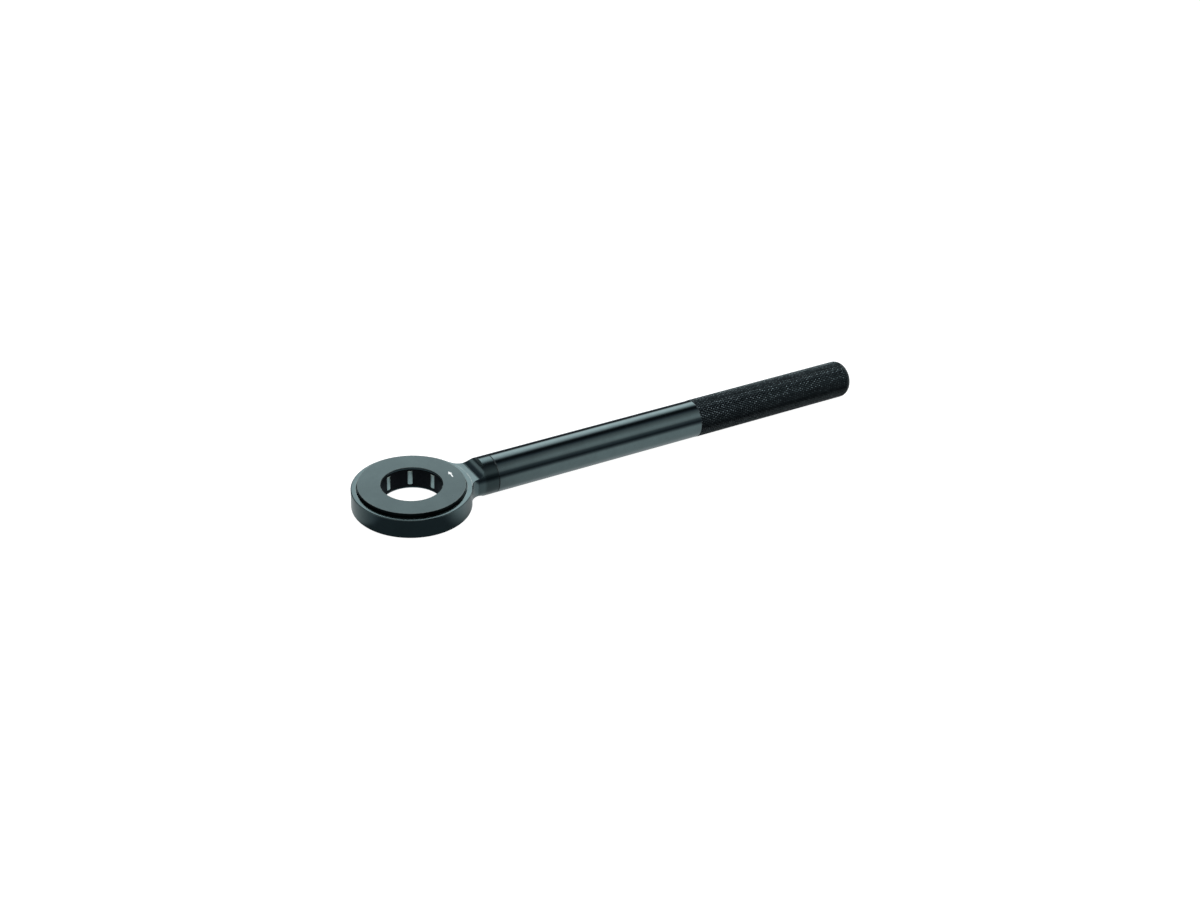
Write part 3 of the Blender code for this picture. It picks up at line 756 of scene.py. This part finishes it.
# --------------------------------------------------------------------------- return springs
for k, a in enumerate((0.0, 90.0, 180.0, 270.0), 1):
    s0, s1 = a - 11.1, a + 2.1
    pts = []
    n = 60
    for i in range(n + 1):
        u = i / n
        zig = math.sin(u * math.pi * 6.0)
        zig = math.copysign(abs(zig) ** 0.75, zig)
        pts.append(Vector(polar(17.4 + 0.40 * zig, s0 + (s1 - s0) * u)))
    left, right = [], []
    for i, q in enumerate(pts):
        d = (pts[min(i + 1, n)] - pts[max(i - 1, 0)]).normalized()
        side = Vector((-d.y, d.x)) * 0.085
        left.append(tuple(q + side))
        right.append(tuple(q - side))
    spring = plate(f"folded_spring_{k}", left + right[::-1], 3.2, 7.8)
    dress(spring, "wrench", f"cage_spring_{k}", slot="spring_steel", mats=[SPRING_MAT])
    anchor = tuple(to_row((*polar(17.4, s0), 5.5)))
    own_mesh(spring)


# --------------------------------------------------------------------------- screws
def hexagon(r):
    return [polar(r, 60.0 * i + 15.0) for i in range(6)]


for k, a in enumerate(SCREW_ANGLES, 1):
    px, py = polar(SCREW_PITCH_R, a)
    prof = rounded([(0.0, 10.25, 0), (0.72, 10.25, 0), (1.0, 9.97, 0.05), (1.0, 1.17, 0.1), (1.9, 0.27, 0.04),
                    (1.9, 0.12, 0.05), (0.0, 0.12, 0)], closed=False, seg=3)
    screw = turned(f"countersunk_screw_{k}", prof, 40, centre=(px, py, 0), closed=False)
    cut(screw, plate("socket", [(px + hx, py + hy) for hx, hy in hexagon(0.72)], -1.0, 1.15))
    tidy(screw)
    shade(screw, 30.0)
    dress(screw, "wrench", f"cover_screw_{k}", slot="black_screw", mats=[SCREW_MAT])

tip, foot = AXIS_Z - 4.15, AXIS_Z - HANDLE_R + 0.5
lock = turned("socket_set_screw",
              rounded([(0.0, tip, 0), (1.3, tip, 0.05), (1.95, tip - 0.65, 0.1), (1.95, foot + 0.25, 0.05),
                       (1.7, foot, 0.05), (0.0, foot, 0)], closed=False, seg=3),
              40, centre=(LOCK_X, 0, 0), closed=False)
cut(lock, plate("socket", [(LOCK_X + hx, hy) for hx, hy in hexagon(1.12)], foot - 1.0, foot + 2.0))
tidy(lock)
shade(lock, 30.0)
dress(lock, "wrench", "stud_lock_screw", slot="black_screw", mats=[SCREW_MAT])

# --------------------------------------------------------------------------- carried-over nodes
for name, mat in (("cam_ring", CAM_MAT), ("drive_pin_1", PIN_MAT), ("drive_pin_2", PIN_MAT), ("handle_stud", PIN_MAT)):
    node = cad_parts[name]
    node.data.materials.clear()
    node.data.materials.append(mat)

# --------------------------------------------------------------------------- floor
floor_mesh = bpy.data.meshes.new("studio_floor")
floor_mesh.from_pydata([(-6, -6, 0), (6, -6, 0), (6, 6, 0), (-6, 6, 0)], [], [(0, 1, 2, 3)])
floor = bpy.data.objects.new("studio_floor", floor_mesh)
floor.location = (0, 0, cad_box[0].z - 0.0001)
scene.collection.objects.link(floor)
floor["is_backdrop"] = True
floor_mat = bpy.data.materials.new("studio_floor")
floor_mat.use_nodes = True
nt = floor_mat.node_tree
nt.nodes.clear()
emit = nt.nodes.new("ShaderNodeEmission")
emit.inputs[0].default_value = (1.0, 1.0, 1.0, 1.0)
emit.inputs[1].default_value = 1.0
diff = nt.nodes.new("ShaderNodeBsdfDiffuse")
diff.inputs[0].default_value = (0.22, 0.22, 0.22, 1.0)
both = nt.nodes.new("ShaderNodeAddShader")
out = nt.nodes.new("ShaderNodeOutputMaterial")
nt.links.new(emit.outputs[0], both.inputs[0])
nt.links.new(diff.outputs[0], both.inputs[1])
nt.links.new(both.outputs[0], out.inputs[0])
floor.data.materials.append(floor_mat)
floor.visible_glossy = False

# A dark card under the head and in front of it is a painted shadow: it stands in for the floor's shade there, glowing
# faintly and more brightly inside the bore. Only reflections see it.
card_mesh = bpy.data.meshes.new("painted_floor_shadow_card")
card_mesh.from_pydata([(-0.30, -0.30, 0), (0.0, -0.30, 0), (0.0, 0.06, 0), (-0.30, 0.06, 0)], [], [(0, 1, 2, 3)])
card = bpy.data.objects.new("painted_floor_shadow_card", card_mesh)
card.location = (0, 0, cad_box[0].z - 0.00005)
scene.collection.objects.link(card)
card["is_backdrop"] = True
card_mat, t = material("painted_floor_shadow_card")
cx, cy, _ = t.split(t.add("ShaderNodeTexCoord").outputs["Object"])
slant = t.math("SUBTRACT", cx, t.math("MULTIPLY", cy, 0.6))
floor_shadow_mask = t.math("MULTIPLY", t.ramp(slant, -0.147, -0.141), t.ramp(cx, -0.075, -0.098))
floor_shadow_mask = t.math("MULTIPLY", floor_shadow_mask, t.ramp(cy, 0.045, 0.030))
floor_shadow_mask = t.math("MULTIPLY", floor_shadow_mask, t.ramp(cy, -0.20, -0.16))
from_axis = t.vmath("LENGTH", t.join(t.math("SUBTRACT", cx, AX), cy, 0.0))
# The painted floor shade's glow: brighter inside the bore, fainter outside it.
dark = t.add("ShaderNodeEmission", Color=(0.84, 1.03, 1.15, 1.0), Strength=t.ramp(from_axis, 0.0150, 0.0175, 0.33, 0.105))
mixed = t.add("ShaderNodeMixShader")
t.put(mixed, "0", floor_shadow_mask)
t.put(mixed, "1", t.add("ShaderNodeBsdfTransparent"))
t.put(mixed, "2", dark)
t.nt.links.new(mixed.outputs[0], t.add("ShaderNodeOutputMaterial").inputs[0])
card.data.materials.append(card_mat)
card.visible_camera = card.visible_diffuse = card.visible_shadow = card.visible_transmission = False

# --------------------------------------------------------------------------- camera, at the fitted angle
A, E, ROLL = 1.0061057, 0.5465008, 0.0493345
fw = Vector((math.cos(E) * math.cos(A), math.cos(E) * math.sin(A), -math.sin(E)))
rt = Vector((math.sin(A), -math.cos(A), 0.0))
up = rt.cross(fw)
r2 = rt * math.cos(ROLL) + up * math.sin(ROLL)
u2 = -rt * math.sin(ROLL) + up * math.cos(ROLL)
camera_data = bpy.data.cameras.new("studio_camera")
camera = bpy.data.objects.new("studio_camera", camera_data)
scene.collection.objects.link(camera)
camera_data.sensor_width = 36.0
camera_data.lens = 53.593
camera_data.clip_start, camera_data.clip_end = 0.05, 50.0
place = Vector((AX - 0.2979350, -0.6308271, 0.4597741))
turn = Matrix((r2, u2, -fw)).transposed().to_4x4()
nudge = Matrix.Rotation(0.00018, 4, "X") @ Matrix.Rotation(0.00010, 4, "Y")
camera.matrix_world = Matrix.Translation(place) @ turn @ nudge
scene.camera = camera

# --------------------------------------------------------------------------- light
world = bpy.data.worlds.new("studio_world")
scene.world = world
world.use_nodes = True
nt = world.node_tree
nt.nodes.clear()


class WorldTree(Tree):
    def __init__(self, tree):
        self.nt = tree


t = WorldTree(nt)
direction = t.vmath("NORMALIZE", nt.nodes.new("ShaderNodeTexCoord").outputs["Generated"])


def aim(azimuth, elevation):
    """Azimuth in degrees from +X towards +Y."""
    a, e = math.radians(azimuth), math.radians(elevation)
    return (math.cos(e) * math.cos(a), math.cos(e) * math.sin(a), math.sin(e))


def lobe(azimuth, elevation, inner, outer, strength):
    d = t.vmath("DOT_PRODUCT", direction, aim(azimuth, elevation))
    return t.ramp(d, math.cos(math.radians(outer)), math.cos(math.radians(inner)), 0.0, strength)


VIEW = math.degrees(A)                       # the camera looks this way

# Radiance round the X axis, by the angle from straight ahead of the handle (0 is -Y, 90 is up, 180 is +Y):
# a long softbox up behind the object, a low card in front of it, a pale table below, and dark gaps between.
RIGHT = [(-180, 0.05), (-165, 0.32), (-126, 0.46), (-96, 0.77), (-56, 0.86), (-28, 0.92), (-18, 0.92), (-12, 0.68),
         (-7, 0.40), (-2, 0.20), (6, 0.05), (15, 0.14), (25, 0.27), (34, 0.80), (45, 0.92), (56, 0.72),
         (66, 0.52), (74, 0.36), (82, 0.14), (88, 0.04), (98, 0.02), (104, 0.06), (110, 0.42), (117, 1.30), (124, 1.85),
         (134, 2.45), (141, 2.40), (146, 2.50), (150, 2.15), (155, 1.25), (158, 0.55), (161, 0.04)]
LEFT = [(-180, 0.10), (-160, 0.42), (-145, 0.60), (-135, 0.50), (-126, 0.40), (-99, 0.20), (-70, 0.09), (-40, 0.07),
        (-15, 0.05), (20, 0.03), (60, 0.03), (104, 0.05), (120, 0.10), (138, 0.15), (146, 0.32), (153, 0.90), (166, 0.95),
        (173, 0.30), (180, 0.10)]


def curve(value, stops, top=3.0):
    ramp = nt.nodes.new("ShaderNodeValToRGB")
    ramp.color_ramp.interpolation = "LINEAR"
    els = ramp.color_ramp.elements
    for i, (deg, level) in enumerate(stops):
        pos = (deg + 180.0) / 360.0
        el = els[i] if i < 2 else els.new(pos)
        el.position = pos
        el.color = (level / top,) * 3 + (1.0,)
    for i, (deg, level) in enumerate(stops):
        els[i].position = (deg + 180.0) / 360.0
        els[i].color = (level / top,) * 3 + (1.0,)
    t.put(ramp, "0", value)
    return t.math("MULTIPLY", ramp.outputs[0], top)


dx, dy, dz = (t.split(direction)[i] for i in range(3))
around = t.math("ARCTAN2", dz, t.math("MULTIPLY", dy, -1.0))
around = t.math("ADD", t.math("DIVIDE", around, math.tau), 0.5)
behind = t.ramp(dy, -0.1, 0.1)
# The softbox's nearer edge leans a little out of parallel with the handle.
lean = t.math("MULTIPLY", t.math("SUBTRACT", dx, 0.43), -60.0 / 360.0)
lean = t.math("MULTIPLY", lean, t.ramp(around, (138 + 180) / 360, (126 + 180) / 360))
leaned = t.math("ADD", around, t.math("MULTIPLY", lean, t.ramp(around, (60 + 180) / 360, (100 + 180) / 360)))
side_front, side_back = t.ramp(dx, 0.30, 0.46), t.ramp(dx, 0.10, 0.40)
side = t.math("ADD", t.math("MULTIPLY", side_front, t.math("SUBTRACT", 1.0, behind)),
              t.math("MULTIPLY", side_back, behind))
left, right = curve(around, LEFT), curve(leaned, RIGHT)
low_band = t.math("MULTIPLY", t.ramp(around, (138 + 180) / 360, (147 + 180) / 360), t.ramp(dx, -0.45, -0.22, 0.0, 0.85))
left = t.math("MULTIPLY", left, t.math("SUBTRACT", 1.0, low_band))
total = t.math("ADD", t.math("MULTIPLY", left, t.math("SUBTRACT", 1.0, side)), t.math("MULTIPLY", right, side))

# Soft cards overhead, in front and at both ends, so that the metal also reads from the top, the back and the sides.
def turn_of(degrees):
    return (degrees + 180.0) / 360.0


overhead = t.ramp(dz, 0.925, 0.970, 0.0, 0.65)
low_front = t.math("MULTIPLY", t.ramp(around, turn_of(5), turn_of(24)), t.ramp(around, turn_of(78), turn_of(56)))
low_front = t.math("MULTIPLY", low_front, t.ramp(dx, 0.10, -0.12, 0.0, 0.60))
both_ends = t.math("ADD", t.ramp(dx, 0.80, 0.90, 0.0, 0.60), t.ramp(dx, -0.74, -0.86, 0.0, 0.70))
both_ends = t.math("MULTIPLY", both_ends, t.ramp(dz, 0.08, 0.30))
total = t.math("MAXIMUM", total, t.math("MAXIMUM", overhead, t.math("MAXIMUM", low_front, both_ends)))
background = nt.nodes.new("ShaderNodeBackground")
t.put(background, "0", t.mix(t.ramp(total, 0.02, 0.5), (0.80, 1.0, 1.17), (0.93, 1.0, 1.01)))
nt.links.new(total, background.inputs[1])
world_out = nt.nodes.new("ShaderNodeOutputWorld")
nt.links.new(background.outputs[0], world_out.inputs[0])


def area(name, azimuth, elevation, distance, size, size_y, power, spin=0.0, target=(0.0, 0.0, 0.01)):
    data = bpy.data.lights.new(name, "AREA")
    data.shape, data.size, data.size_y, data.energy = "RECTANGLE", size, size_y, power
    obj = bpy.data.objects.new(name, data)
    scene.collection.objects.link(obj)
    d = Vector(aim(azimuth, elevation))
    obj.location = Vector(target) + d * distance
    obj.rotation_mode = "QUATERNION"
    obj.rotation_quaternion = d.to_track_quat("Z", "Y") @ Matrix.Rotation(math.radians(spin), 3, "Z").to_quaternion()
    return obj


fill = area("overhead_fill", 0.0, 90.0, 1.2, 0.6, 0.6, 14.0)
fill.visible_glossy = False

# --------------------------------------------------------------------------- end
lo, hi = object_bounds()
